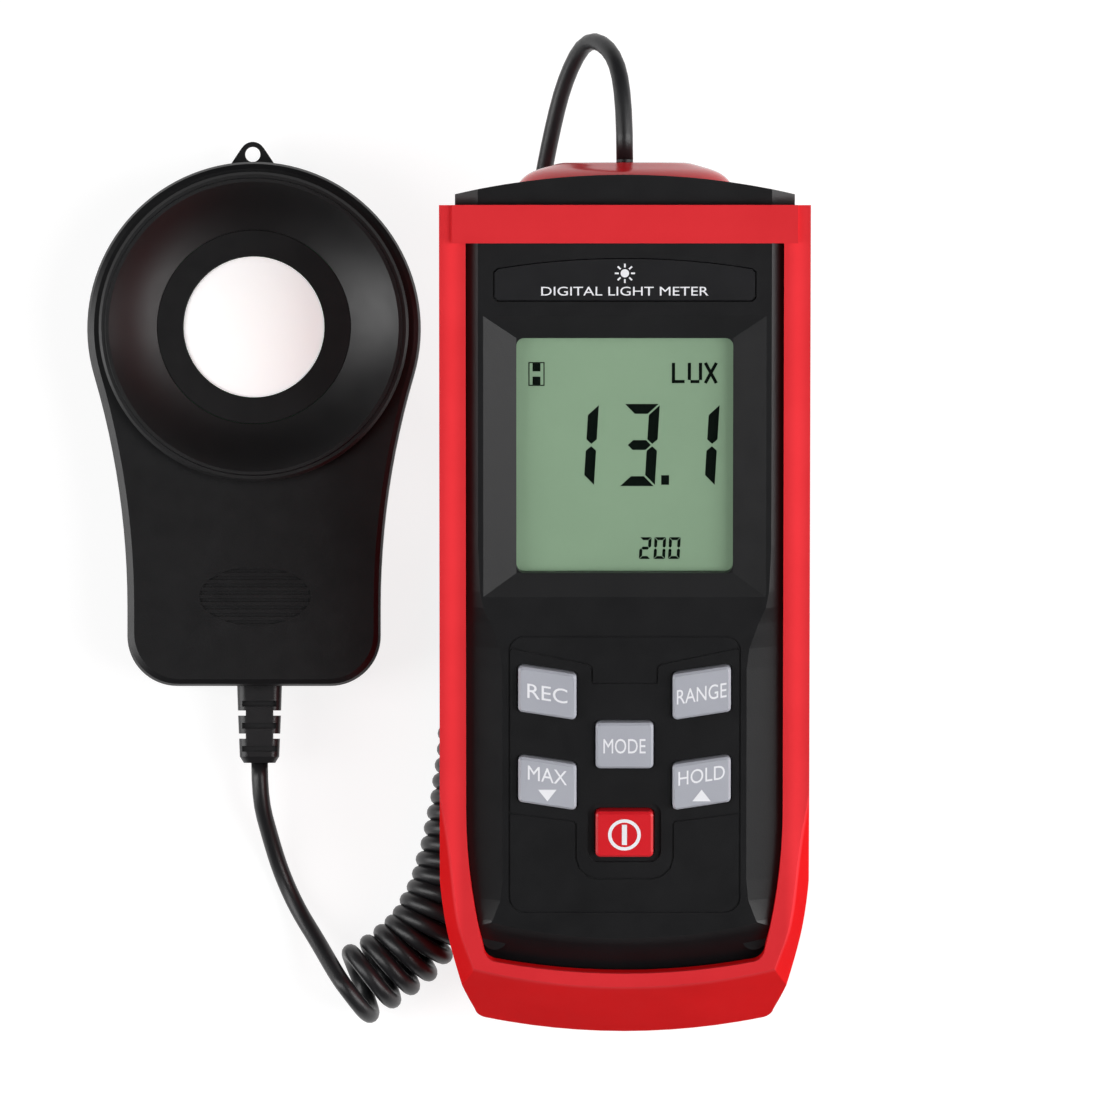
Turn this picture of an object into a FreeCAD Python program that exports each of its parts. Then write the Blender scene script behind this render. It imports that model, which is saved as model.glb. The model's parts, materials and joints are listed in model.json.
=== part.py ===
import FreeCAD, Part
import math
import os

from FreeCAD import Vector

# Handheld light meter: a meter in a rubber holster, propped on its tilt stand, and a paddle
# sensor probe that lies on the table beside it, joined by a curly cord. Millimetres, +Z up,
# +Y towards the meter's top end, origin on the table at the centre of the footprint.

# ---- placing of the meter -------------------------------------------------------------------
# The meter is drawn in its own frame: u across, v from its foot to its top end, w from its
# back to its display. It then leans back on the stand by TILT degrees.
TILT = 17.0
METER_X = 33.6
METER_Y = -78.45
FOOT_FACET = 0.4            # how far the foot's back edge is flattened where it stands
FAR = 200.0                 # beyond the meter in any direction

# ---- holster (rubber boot round the case) ---------------------------------------------------
HOLSTER_HALF = 35.0
HOLSTER_DEEP = 34.0
HOLSTER_END_Y = 71.9
BACK_HALF = 22.0            # half width of the flat back
CHAMFER_UP = 18.0           # height of the long back chamfers
WALL = 3.0
BACK_WALL = 2.6
LIP_W = 31.5
FOOT_ARC_R = 126.6          # sweep of the rounded lower end
FOOT_HALF = 26.2            # where that sweep turns into the corner
BEVEL_V = 13.0              # front edge of the 45 degree lower bevel
BEVEL_WALL = 2.7            # wall left along the bevels
SIDE_BEVEL = [(-2, 26.2), (10, 27.0), (17, 28.6), (23, 30.7), (32, 32.2), (45, 33.8), (62, 35.6)]
SIDE_FALL = 1.5             # drop of the side bevels for each millimetre outwards
LIP_HALF = 30.0
STRAP = (160.4, 168.6)
STRAP_HALF = 32.6
STRAP_TOP = 35.0
BACK_WINDOW = (17.6, 16.0, 122.0)    # half width, v from, v to

# ---- case -----------------------------------------------------------------------------------
CASE_GAP = 0.1              # between the case and the rubber
CASE_HALF = 32.0
CASE_BACK = 2.7
CASE_WALL = 1.8
PART_W = 20.0               # where front and rear case meet
FACE_W = 33.2               # front face of the case
FACE_EDGE_W = 30.9          # outer edge of the face's long chamfers
FACE_EDGE = [(190, 27.7), (100, 27.7), (91.2, 27.3), (88, 26.7), (84.9, 25.3), (80, 23.6), (76, 23.1),
             (34, 23.1), (30, 23.5), (26, 25.0), (23, 27.2), (20, 30.0), (-5, 46.0)]
FACE_END_V = 22.5           # where the front face turns down at its lower end
SLOPE_END = (11.0, 28.0)    # v and w where that slope stops
HEAD_Y = 77.6               # top end of the case, upright when it stands on its stand
HEAD_R = 143.0
HEAD_WALL = 4.0

# ---- display --------------------------------------------------------------------------------
LCD_HALF = 20.45
LCD_V = (94.3, 140.6)
BEZEL_HALF = 26.7
BEZEL_V = (90.2, 145.6)
BEZEL_FLOOR = 31.0
LENS_TOP = 29.6
LENS_THICK = 1.0
GLASS_THICK = 1.5
GLASS_TOP = LENS_TOP - LENS_THICK - 0.1

# ---- name plate -----------------------------------------------------------------------------
PLATE_HALF = 24.8
PLATE_V = (148.4, 155.0, 157.0)      # lower edge, upper edge at the ends, at the middle
PLATE_SUNK = 0.15
PLATE_CORNER = 0.7

# ---- keys -----------------------------------------------------------------------------------
KEY_TOP = 34.6
KEY_GAP = 0.3
KEY_RIM = 0.45
KEY_TRAVEL = 0.8
KEY_FLANGE = 0.9
KEY_FLANGE_TOP = 31.1
KEY_INNER = 9.1
KEY_OUTER = 20.1
KEY_TALL = 9.0
KEY_SLANT = 1.75
CENTRE_KEY_HALF = 5.45
DOME_RISE = 0.8
DOME_BALL_R = 6.65
GROOVE_WIDE = 0.35
GROOVE_DEEP = 0.25

# ---- board and battery ----------------------------------------------------------------------
BOARD_TOP = 25.6
BOARD_THICK = 1.6
BOARD_LOW = BOARD_TOP - BOARD_THICK
BOARD_HALF = 27.5
BOARD_V = (18.0, 150.0)
BATTERY_HALF = 13.2
BATTERY_V = (24.6, 73.1)
BATTERY_W = (5.0, 22.4)
DOOR_HALF = 15.6
DOOR_V = (22.0, 74.4)
DOOR_W = (1.1, 2.6)

# ---- tilt stand -----------------------------------------------------------------------------
PIVOT_V = 112.0
PIVOT_W = 3.4
STAND_HALF = 14.6
STAND_THICK = 2.8
STAND_LEAN = 12.0           # how far the open stand leans past upright
STAND_FOOT_R = 1.4
KNUCKLE_R = 2.4
PIN_R = 1.0
PIN_FIT = 0.04
PIN_HALF = 17.2
POCKET_FLOOR = 6.2
POCKET_V = (75.3, 114.9)
POCKET_WALL = (74.4, 118.0)

# ---- cord cap on the top end ----------------------------------------------------------------
EXIT_Z = 65.2
CAP_TOP = 80.1
CAP_OVALS = [(74.0, 20.6, 12.6), (76.2, 20.0, 12.0), (77.7, 18.6, 10.8), (79.05, 15.6, 8.0),
             (79.8, 13.0, 5.9), (CAP_TOP, 11.3, 4.6)]    # y, half width, half height

# ---- probe ----------------------------------------------------------------------------------
PROBE_X = -36.9
PROBE_Y = 49.2
PROBE_R = 31.75
NECK_R = 157.0
HANDLE_HALF = 24.1
HANDLE_END = -68.1
HANDLE_CORNER = 9.5
SHELL_SPLIT = 10.0
PROBE_FACE = 18.0
PROBE_RIM = 1.3
PROBE_WALL = 1.8
COLLAR_Y = 0.3
COLLAR_R = 29.5
COLLAR_TOP = 21.8
DISH_R = 27.6
DISH_INNER_R = 18.5
DISH_FLOOR = 16.4
DIFFUSER_R = 13.5
EYE_X = -0.3
EYE_Y = 33.25
EYE_R = 1.45
EYE_WALL = 0.95
EYE_BASE = 4.1
EYE_THICK = 3.0
GRIP = (10.6, 5.6, -51.0)   # half width, half height, y
BOOT_X = 1.0
BOOT_Z = 9.0
BOOT_LONG = 14.7

# ---- cord -----------------------------------------------------------------------------------
CORD_R = 1.6
COIL_R = 7.55
COIL_Z = 7.8

LEAD_METER_ROUTE = [
    (33.6, 80.7, 65.2), (33.6, 91.5, 65.2), (31.6, 101.8, 60.6), (26.2, 105.3, 51.0),
    (21.8, 97.0, 44.0), (19.3, 84.0, 39.0), (17.0, 71.0, 32.5), (14.2, 58.0, 24.5),
    (11.2, 46.0, 15.0), (8.6, 34.0, 6.0), (7.2, 23.0, 2.2), (6.4, 13.5, 1.7), (6.2, 5.0, 1.65),
]
COIL_ROUTE = [
    (6.2, 5.0), (6.5, -8.0), (6.1, -21.0), (4.9, -35.0), (2.6, -48.2), (-1.0, -60.9),
    (-8.3, -71.4), (-19.9, -77.4),
]
LEAD_PROBE_ROUTE = [
    (-35.9, -33.6, 9.0), (-35.9, -40.2, 9.0), (-34.0, -47.6, 4.6), (-31.8, -54.8, 2.0),
    (-28.7, -61.6, 2.6), (-24.9, -67.6, 6.4), (-21.8, -72.9, 11.2),
]


# ---- small helpers --------------------------------------------------------------------------
def box(x, y, z):
    """Box between two corners given per axis."""
    size = [b - a for a, b in (x, y, z)]
    return Part.makeBox(*size, Vector(x[0], y[0], z[0]))


def rod(radius, start, end):
    """Round rod from start to end."""
    start, end = Vector(*start), Vector(*end)
    return Part.makeCylinder(radius, (end - start).Length, start, end - start)


def upright_rod(radius, place, low, high):
    """Round rod along the third axis at a place given by the first two."""
    return rod(radius, (*place, low), (*place, high))


def wire(points):
    return Part.makePolygon([Vector(*p) for p in points + points[:1]])


def prism(points, depth):
    """Face through points, pushed along depth."""
    return Part.Face(wire(points)).extrude(Vector(*depth))


def joined(shapes):
    return shapes[0].multiFuse(shapes[1:]).removeSplitter()


def lean(shape):
    """From the meter's own frame to where it stands."""
    moved = shape.copy()
    moved.rotate(Vector(0, 0, 0), Vector(1, 0, 0), TILT)
    moved.translate(Vector(METER_X, METER_Y, -FOOT_FACET))
    return moved


def at_probe(shape):
    moved = shape.copy()
    moved.translate(Vector(PROBE_X, PROBE_Y, 0))
    return moved


def edges_through(start, steps, z):
    """Edges at one height: each step is an end point, or a point on an arc and its end point."""
    edges = []
    for step in steps:
        points = [Vector(*p, z) for p in (start, *step)]
        made = Part.Arc(*points) if len(points) == 3 else Part.LineSegment(*points)
        edges.append(made.toShape())
        start = step[-1]
    return edges


def even_face(start, steps, z):
    """Face bounded by steps up its right side, from axis to axis, and by their mirror image."""
    right = edges_through(start, steps, z)
    left = [edge.mirror(Vector(0, 0, 0), Vector(1, 0, 0)) for edge in reversed(right)]
    return Part.Face(Part.Wire(right + left))


def rounded_plate(half, low, high, corner, z_low, z_high):
    """Plate with round corners, half wide to each side, from low to high along the length."""
    shape = box((-half, half), (low, high), (z_low, z_high))
    return shape.makeFillet(corner, edges_along(shape, Vector(0, 0, 1)))


def edges_along(shape, heading):
    return [e for e in shape.Edges if abs(e.tangentAt(e.FirstParameter).dot(heading)) > 0.9]


def stroke(points, width, low, high):
    """Band of even width along points, for engraved lines."""
    parts = [upright_rod(width / 2, place, low, high) for place in points]
    for (ax, ay), (bx, by) in zip(points, points[1:]):
        long = math.hypot(bx - ax, by - ay)
        bar = box((0, long), (-width / 2, width / 2), (low, high))
        bar.rotate(Vector(0, 0, 0), Vector(0, 0, 1), math.degrees(math.atan2(by - ay, bx - ax)))
        bar.translate(Vector(ax, ay, 0))
        parts.append(bar)
    return parts[0].multiFuse(parts[1:])


def tube(points, radius):
    """Round tube along straight runs joined by tangent arcs, each as large as its runs allow."""
    points = [Vector(*p) for p in points]
    heading = (points[1] - points[0]).normalize()
    edges, start = [], points[0]
    for before, corner, after in zip(points, points[1:], points[2:]):
        one, two = corner - before, after - corner
        turn = one.getAngle(two)
        cut = 0.45 * min(one.Length, two.Length)
        bend = cut / math.tan(turn / 2)
        enter = corner - one.normalize() * cut
        leave = corner + two.normalize() * cut
        inward = (enter + leave) * 0.5 - corner
        middle = corner + inward.normalize() * (bend / math.cos(turn / 2) - bend)
        edges.append(Part.LineSegment(start, enter).toShape())
        edges.append(Part.Arc(enter, middle, leave).toShape())
        start = leave
    edges.append(Part.LineSegment(start, points[-1]).toShape())
    ring = Part.Wire(Part.makeCircle(radius, points[0], heading))
    return Part.Wire(edges).makePipeShell([ring], True, True)


# ---- outlines of the meter ------------------------------------------------------------------
def boot_outline(inset, z):
    """Front outline of the holster, or of a shell the given distance inside it."""
    half = HOLSTER_HALF - inset
    low = FOOT_HALF - inset * 0.75
    sweep = FOOT_ARC_R - inset

    def rise(u):
        return FOOT_ARC_R - math.sqrt(sweep ** 2 - u ** 2)

    corner = (low + 2.15, rise(low) + 2.15)
    return even_face((0, inset), [
        ((low / 2, rise(low / 2)), (low, rise(low))),
        ((low + 1.4, rise(low) + 0.7), corner),
        ((half - 2.2, 18.8 + inset * 0.4), (half, 33.0)),
        ((half, FAR),),
        ((0, FAR),),
    ], z)


def ring_wedge(profile):
    """Profile given as (v, w), swept round the lower end's arc."""
    face = Part.Face(wire([(0, v, w) for v, w in profile]))
    swept = face.revolve(Vector(0, FOOT_ARC_R, 0), Vector(0, 0, 1), 60)
    swept.rotate(Vector(0, FOOT_ARC_R, 0), Vector(0, 0, 1), -30)
    return swept


def lower_bevel(inward):
    """Wedge off the lower front edge at 45 degrees, the given distance inside the rubber."""
    drop = BEVEL_V - HOLSTER_DEEP + inward * math.sqrt(2)
    high, low = HOLSTER_DEEP + 2.0, FACE_W - 17.0
    return ring_wedge([(high + drop, high), (low + drop, low), (-8, low), (-8, high)])


def side_bevel(side, inward):
    """Wedge off one lower side, running out to nothing further up."""
    reach, over = 45.0, 2.0
    shift = inward * math.hypot(1, SIDE_FALL) / SIDE_FALL
    top = HOLSTER_DEEP + over
    sections = []
    for v, crease in SIDE_BEVEL:
        edge = crease - shift
        sections.append(wire([
            (side * (edge - over / SIDE_FALL), v, top),
            (side * reach, v, HOLSTER_DEEP - SIDE_FALL * (reach - edge)),
            (side * reach, v, top)]))
    return Part.makeLoft(sections, True, False)


def bevelled(body, inward):
    return body.cut([lower_bevel(inward), side_bevel(-1, inward), side_bevel(1, inward)])


def long_chamfer(side, inner, outer, up, low):
    """Wedge along one long back edge: from (inner, low) up to (outer, low + up)."""
    reach = 6.0
    extra = reach * up / (outer - inner)
    points = [
        (side * (inner - reach), -20, low - extra),
        (side * (outer + reach), -20, low + up + extra),
        (side * (outer + reach + 20), -20, low - 20 - extra),
        (side * (inner - reach), -20, low - 40),
    ]
    return prism(points, (0, FAR + 20, 0))


def section_body(inset, back, top):
    """Body of the meter's outline with its chamfered back, inset from the holster's outside."""
    body = boot_outline(inset, back).extrude(Vector(0, 0, top - back))
    run = HOLSTER_HALF - BACK_HALF
    slant = math.hypot(run, CHAMFER_UP)
    shift = inset * CHAMFER_UP / slant
    lift = inset * run / slant
    wedges = [long_chamfer(side, BACK_HALF - shift, HOLSTER_HALF - shift, CHAMFER_UP, lift)
              for side in (-1, 1)]
    return body.cut(wedges)


def face_relief(side):
    """Chamfer down one side of the case's front, wider beside the keys."""
    reach, over = 60.0, 3.0
    sections = []
    for v, inner in FACE_EDGE:
        sections.append(wire([
            (side * inner, v, FACE_W),
            (side * max(CASE_HALF, inner + 2), v, FACE_EDGE_W),
            (side * reach, v, FACE_EDGE_W),
            (side * reach, v, FACE_W + over),
            (side * inner, v, FACE_W + over)]))
    return Part.makeLoft(sections, True, True)


def head_cut(radius):
    """Everything past the upright curved top end."""
    block = box((-60, 130), (-20, 160), (-20, 140))
    return block.cut(upright_rod(radius, (METER_X, HEAD_Y - HEAD_R), -20, 140))


def mouth(shrink, top, low):
    """Opening in the holster's front through which the case's face shows."""
    half = LIP_HALF - shrink
    return even_face((0, 15.65 + shrink), [
        ((12.1, 16.22 + shrink), (24.2 - shrink, 17.95 + shrink)),
        ((25.85 - shrink, 18.75 + shrink), (26.7 - shrink, 20.6)),
        ((28.75 - shrink, 31.0), (half, 48.0)),
        ((half, top),),
        ((0, top),),
    ], low).extrude(Vector(0, 0, 10))


# ---- meter pieces ---------------------------------------------------------------------------
def holster():
    body = bevelled(section_body(0, 0, HOLSTER_DEEP), 0)
    body = body.fuse(box((-STRAP_HALF, STRAP_HALF), (STRAP[0], FAR), (HOLSTER_DEEP - 4, STRAP_TOP)))
    cavity = bevelled(section_body(WALL - CASE_GAP, BACK_WALL, LIP_W), BEVEL_WALL - CASE_GAP)
    under_strap = box((-LIP_HALF, LIP_HALF), (STRAP[0] - 1, FAR), (LIP_W - 3, FACE_W + CASE_GAP))
    half, low_v, high_v = BACK_WINDOW
    window = rounded_plate(half, low_v, high_v, 4.0, -2, BACK_WALL + 2)
    body = lean(body.cut([cavity, mouth(0, STRAP[0], LIP_W - 4), under_strap, window]))
    end = box((-60, 130), (HOLSTER_END_Y, 160), (-20, 140))
    floor = box((-60, 130), (-160, 160), (-20, 0))
    return body.cut([end, floor])


def case_block(inset, back, face):
    """Solid shape of the whole case, or of the space inside it."""
    body = bevelled(section_body(WALL + inset, back, face), BEVEL_WALL + inset)
    over = FACE_W + 2.0
    end_v, end_w = SLOPE_END[0] + inset, SLOPE_END[1] - 0.4 * inset
    front = [(FACE_END_V + inset, over), (FACE_END_V + inset, FACE_W - inset), (end_v, end_w),
             (-8, end_w), (-8, over)]
    cuts = [ring_wedge(front)]
    for side in (-1, 1):
        relief = face_relief(side)
        relief.translate(Vector(-side * inset * 0.6, 0, -inset * 0.8))
        cuts.append(relief)
    return body.cut(cuts)


def under_lip():
    """Room for the holster's front lip round the case's face."""
    low = LIP_W - CASE_GAP
    return box((-60, 60), (-20, FAR), (low, low + 8)).cut(mouth(0.2, FAR, low - 1))


def case_shell():
    """The whole hollow case before it is split, with its solid top end."""
    outside = lean(case_block(0, CASE_BACK, FACE_W))
    inside_rubber = box((-60, 130), (-160, HOLSTER_END_Y + CASE_GAP), (-20, 140))
    outside = outside.cut([head_cut(HEAD_R), lean(under_lip()).common(inside_rubber)])
    inside = lean(case_block(CASE_WALL, CASE_BACK + CASE_WALL, FACE_W - CASE_WALL))
    inside = inside.cut(head_cut(HEAD_R - HEAD_WALL))
    hole = rod(CORD_R + 1.9, (METER_X, HEAD_Y - 12, EXIT_Z), (METER_X, HEAD_Y + 12, EXIT_Z))
    return outside.cut([inside, hole])


def case_screw_places():
    return [(15.0 * side, v) for side in (-1, 1) for v in (13.5, 154.0)]


def board_screw_places():
    return [(24.6 * side, v) for side in (-1, 1) for v in (22.0, 146.5)]


def screw_boss_top(v):
    """How far up a screw boss reaches: the lower ones stop inside the slope."""
    return SLOPE_END[1] - 1.2 if v < FACE_END_V else FACE_W - CASE_WALL + 0.2


def bezel_cut():
    """Sloping walls down to the display, and the opening over it."""
    def level(half, v, w):
        return wire([(-half, v[0], w), (half, v[0], w), (half, v[1], w), (-half, v[1], w)])

    slopes = [level(BEZEL_HALF, BEZEL_V, FACE_W), level(LCD_HALF, LCD_V, BEZEL_FLOOR)]
    opening = rounded_plate(LCD_HALF, *LCD_V, 1.5, LENS_TOP - 1, BEZEL_FLOOR + 0.01)
    return [Part.makeLoft(slopes, True, True), opening]


def front_case(shell):
    body = shell.common(lean(box((-60, 60), (-10, FAR), (PART_W, 60))))
    inner_top = FACE_W - CASE_WALL
    solid = [box((-25, 25), (90.6, 144.4), (LENS_TOP, inner_top + 0.2))]
    solid += [upright_rod(2.9, p, PART_W, screw_boss_top(p[1])) for p in case_screw_places()]
    solid += [upright_rod(2.4, p, BOARD_TOP, inner_top) for p in board_screw_places()]
    body = joined([body] + [lean(s) for s in solid])
    cuts = [upright_rod(1.2, p, PART_W - 1, PART_W + 7) for p in case_screw_places()]
    cuts += [upright_rod(0.9, p, BOARD_TOP - 1, BOARD_TOP + 4) for p in board_screw_places()]
    cuts += bezel_cut() + keypad_grooves()
    cuts.append(plate_shape(0.0, FACE_W - 0.8))
    cuts += [key_prism(corners, KEY_GAP, FACE_W - 4, FACE_W + 1) for corners in key_places().values()]
    cuts.append(rounded_plate(CENTRE_KEY_HALF + 1.5, 37.6, 49.4, 2.2, FACE_W - 0.6, FACE_W + 1))
    return body.cut([lean(c) for c in cuts])


def rear_case(shell):
    body = shell.common(lean(box((-60, 60), (-10, FAR), (-20, PART_W))))
    solid = [box((-19.4, 19.4), POCKET_WALL, (CASE_BACK + 0.1, POCKET_FLOOR + 1.8))]
    solid += [upright_rod(2.9, p, CASE_BACK + 0.5, PART_W) for p in case_screw_places()]
    solid += [box((side * 14.6 - 0.6, side * 14.6 + 0.6), (22.6, 74.6), (CASE_BACK + 0.1, 17.0))
              for side in (-1, 1)]
    body = joined([body] + [lean(s) for s in solid])
    bay = BATTERY_HALF + 0.5
    cuts = [box((-bay, bay), (BATTERY_V[0] - 0.4, BATTERY_V[1] + 0.4), (-5, 19.0))]
    cuts.append(box((-STAND_HALF - 0.5, STAND_HALF + 0.5), POCKET_V, (-5, POCKET_FLOOR)))
    cuts.append(pin_rod())
    cuts += [upright_rod(1.5, p, -5, PART_W + 1) for p in case_screw_places()]
    cuts += [upright_rod(2.6, p, -5, CASE_BACK + 2.2) for p in case_screw_places()]
    return body.cut([lean(c) for c in cuts])


def plate_shape(gap, low):
    """Arched name plate, or the recess it lies in."""
    half, corner = PLATE_HALF - gap, PLATE_CORNER
    bottom, end, crown = PLATE_V[0] + gap, PLATE_V[1] - gap, PLATE_V[2] - gap
    steps = [((half - corner, bottom),), ((half, bottom + corner),), ((half, end - corner),),
             ((half - corner, end),), ((half / 2, (end + 3 * crown) / 4), (0, crown))]
    return even_face((0, bottom), steps, low).extrude(Vector(0, 0, FACE_W + 1.0 - low))


def label_plate():
    plate = plate_shape(0.25, FACE_W - 0.8)
    return lean(plate.common(box((-40, 40), (140, 170), (0, FACE_W - PLATE_SUNK))))


def key_places():
    """Four corners of each key, counted round from its lower left."""
    left_low, left_high, right_low, right_high = -KEY_OUTER, -KEY_INNER, KEY_INNER, KEY_OUTER

    def slanted(a, b, v_a, v_b):
        return [(a, v_a), (b, v_b), (b, v_b + KEY_TALL), (a, v_a + KEY_TALL)]

    def square(v):
        half = CENTRE_KEY_HALF
        return slanted(-half, half, v, v)

    return {
        "key_record": slanted(left_low, left_high, 67.9, 67.9 - KEY_SLANT),
        "key_range": slanted(right_low, right_high, 67.9 - KEY_SLANT, 67.9),
        "key_mode": square(56.6),
        "key_max": slanted(left_low, left_high, 50.0, 50.0 - KEY_SLANT),
        "key_hold": slanted(right_low, right_high, 50.0 - KEY_SLANT, 50.0),
        "key_power": square(39.0),
    }


def middle(corners):
    return (sum(p[0] for p in corners) / 4, sum(p[1] for p in corners) / 4)


def key_prism(corners, grow, low, high):
    """Upright prism over a key's outline, grown sideways, with small round corners."""
    mid_u, mid_v = middle(corners)
    spread = [(u + math.copysign(grow, u - mid_u), v + math.copysign(grow, v - mid_v), low)
              for u, v in corners]
    shape = prism(spread, (0, 0, high - low))
    return shape.makeFillet(0.9 + grow, edges_along(shape, Vector(0, 0, 1)))


def key(corners):
    flange_low = KEY_FLANGE_TOP - KEY_FLANGE
    cap = key_prism(corners, 0, flange_low, KEY_TOP)
    rim = [e for e in cap.Edges if min(v.Z for v in e.Vertexes) > KEY_TOP - 0.01]
    cap = cap.makeChamfer(KEY_RIM, rim)
    flange = key_prism(corners, 0.9, flange_low, KEY_FLANGE_TOP)
    foot = BOARD_TOP + DOME_RISE + KEY_TRAVEL + 0.1
    stem = upright_rod(1.8, middle(corners), foot, KEY_FLANGE_TOP)
    return lean(joined([cap, flange, stem]))


def keypad_grooves():
    """Fine engraved lines round the keys."""
    low, high = FACE_W - GROOVE_DEEP, FACE_W + 1
    half, bottom, top = 22.0, 27.6, 82.6
    frame = rounded_plate(half, bottom, top, 3.0, low, high)
    line = GROOVE_WIDE
    inside = rounded_plate(half - line, bottom + line, top - line, 3.0 - line, low - 1, high + 1)
    grooves = [frame.cut(inside)]
    for side in (-1, 1):
        upper = [(side * 21.6, 79.7), (side * 21.2, 80.1), (side * 7.0, 77.0), (side * 6.2, 76.3),
                 (side * 6.1, 73.2), (0, 73.2)]
        lower = [(side * 21.6, 47.4), (side * 9.6, 45.8), (side * 9.2, 45.2), (side * 9.2, 38.4),
                 (side * 8.6, 36.4), (side * 7.2, 35.0), (side * 5.4, 34.4), (0, 34.4)]
        grooves += [stroke(points, line, low, high) for points in (upper, lower)]
    return grooves


def lcd_window():
    return lean(box((-23.4, 23.4), (LCD_V[0] - 2.6, LCD_V[1] + 2.6), (LENS_TOP - LENS_THICK, LENS_TOP)))


def lcd_panel():
    return lean(box((-22.2, 22.2), (LCD_V[0] - 1.4, LCD_V[1] + 1.4), (GLASS_TOP - GLASS_THICK, GLASS_TOP)))


def lcd_frame():
    """Moulded holder that clips the glass to the board."""
    top = LENS_TOP - LENS_THICK
    outer = box((-24.2, 24.2), (LCD_V[0] - 3.4, LCD_V[1] + 3.4), (BOARD_TOP, top))
    inner = box((-22.3, 22.3), (LCD_V[0] - 1.5, LCD_V[1] + 1.5), (BOARD_TOP - 1, top + 1))
    return lean(outer.cut(inner))


def zebra_strips():
    """Two conductive rubber strips between the glass and the board."""
    strips = [box((-21, 21), (v - 1.2, v + 1.2), (BOARD_TOP, GLASS_TOP - GLASS_THICK))
              for v in (95.0, 139.9)]
    return Part.makeCompound([lean(s) for s in strips])


def main_board():
    board = box((-BOARD_HALF, BOARD_HALF), BOARD_V, (BOARD_LOW, BOARD_TOP))
    low, high = BOARD_LOW - 1, BOARD_TOP + 1
    cuts = [box((side * 24 - 4, side * 24 + 4), (17, 19.5), (low, high)) for side in (-1, 1)]
    cuts += [upright_rod(1.2, p, low, high) for p in board_screw_places()]
    return lean(board.cut(cuts))


def main_chip():
    return lean(box((-7, 7), (112, 126), (BOARD_LOW - 1.6, BOARD_LOW)))


def dome_contacts():
    """One snap dome on the board below each key."""
    layer = box((-40, 40), (0, FAR), (BOARD_TOP, BOARD_TOP + 2))
    domes = []
    for corners in key_places().values():
        ball = Part.makeSphere(DOME_BALL_R, Vector(*middle(corners), BOARD_TOP + DOME_RISE - DOME_BALL_R))
        domes.append(lean(ball.common(layer)))
    return Part.makeCompound(domes)


def battery():
    low, high = BATTERY_W
    end = BATTERY_V[1]
    can = rounded_plate(BATTERY_HALF, BATTERY_V[0], end - 2.6, 0.6, low, high)
    lid = box((0.5 - BATTERY_HALF, BATTERY_HALF - 0.5), (end - 2.7, end - 2.0), (low + 0.5, high - 0.5))
    mid = (low + high) / 2
    posts = [rod(r, (u, end - 2.1, mid), (u, end - 0.6, mid)) for u, r in ((-6.4, 2.9), (6.4, 3.6))]
    return lean(joined([can, lid] + posts))


def battery_snap():
    half, end = BATTERY_HALF - 0.6, BATTERY_V[1]
    return lean(box((-half, half), (end - 0.5, end + 0.3), (BATTERY_W[0] + 1.2, 18.8)))


def battery_leads():
    """Two thin wires from the snap up to the board."""
    start = BATTERY_V[1]
    wires = []
    for u in (-3.0, 3.0):
        route = [(u, start - 0.2, 19.3), (u * 1.1, start + 2.2, 20.2), (u * 0.9, start + 4.6, 21.6),
                 (u, start + 6.2, 23.4)]
        wires.append(lean(tube(route, 0.6)))
    return Part.makeCompound(wires)


def battery_door():
    low, high = DOOR_V
    w_low, w_high = DOOR_W
    plate = rounded_plate(DOOR_HALF, low, high, 2.0, w_low, w_high)
    rails = [box((side * 12.7 - 0.5, side * 12.7 + 0.5), (low + 12, high - 6), (w_high - 0.1, w_high + 1.8))
             for side in (-1, 1)]
    ribs = [box((-8, 8), (low + 4 + 2.4 * i, low + 5 + 2.4 * i), (w_low - 0.5, w_low + 0.1))
            for i in range(5)]
    return lean(joined([plate] + rails + ribs))


def cross_slot(place, arm, low, high):
    """Cross recess of a screw head."""
    u, v = place
    return [box((u - arm, u + arm), (v - 0.3, v + 0.3), (low, high)),
            box((u - 0.3, u + 0.3), (v - arm, v + arm), (low, high))]


def case_screws():
    seat = CASE_BACK + 2.2
    screws = []
    for place in case_screw_places():
        head = upright_rod(2.3, place, CASE_BACK + 0.8, seat)
        shank = upright_rod(1.2, place, seat, PART_W + 6)
        screws.append(lean(head.fuse(shank).cut(cross_slot(place, 1.4, 0, CASE_BACK + 1.4))))
    return Part.makeCompound(screws)


def board_screws():
    screws = []
    for place in board_screw_places():
        head = upright_rod(1.9, place, BOARD_LOW - 1.2, BOARD_LOW)
        shank = upright_rod(0.9, place, BOARD_LOW, BOARD_TOP + 3.6)
        screws.append(lean(head.fuse(shank)))
    return Part.makeCompound(screws)


def cord_cap():
    """Glossy domed oval round the cord's exit, seated on the curved top end."""
    sections = []
    for y, wide, high in CAP_OVALS:
        oval = Part.Wire(Part.Ellipse(Vector(0, 0, 0), wide, high).toShape())
        oval.rotate(Vector(0, 0, 0), Vector(1, 0, 0), 90)
        oval.translate(Vector(METER_X, y, EXIT_Z))
        sections.append(oval)
    dome = Part.makeLoft(sections, True, False)
    head = upright_rod(HEAD_R, (METER_X, HEAD_Y - HEAD_R), 0, 140)
    hole = rod(CORD_R, (METER_X, HEAD_Y - 5, EXIT_Z), (METER_X, CAP_TOP + 5, EXIT_Z))
    return dome.cut([head, hole])


def cord_bushing():
    """Rubber bush that grips the cord in the case's top end."""
    back, out = HEAD_Y - HEAD_WALL, HEAD_Y - 0.1
    collar = rod(CORD_R + 3.2, (METER_X, back - 2.2, EXIT_Z), (METER_X, back - 0.1, EXIT_Z))
    sleeve = rod(CORD_R + 1.8, (METER_X, back - 1.0, EXIT_Z), (METER_X, out, EXIT_Z))
    return collar.fuse(sleeve).cut(rod(CORD_R, (METER_X, back - 4, EXIT_Z), (METER_X, out + 1, EXIT_Z)))


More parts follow.
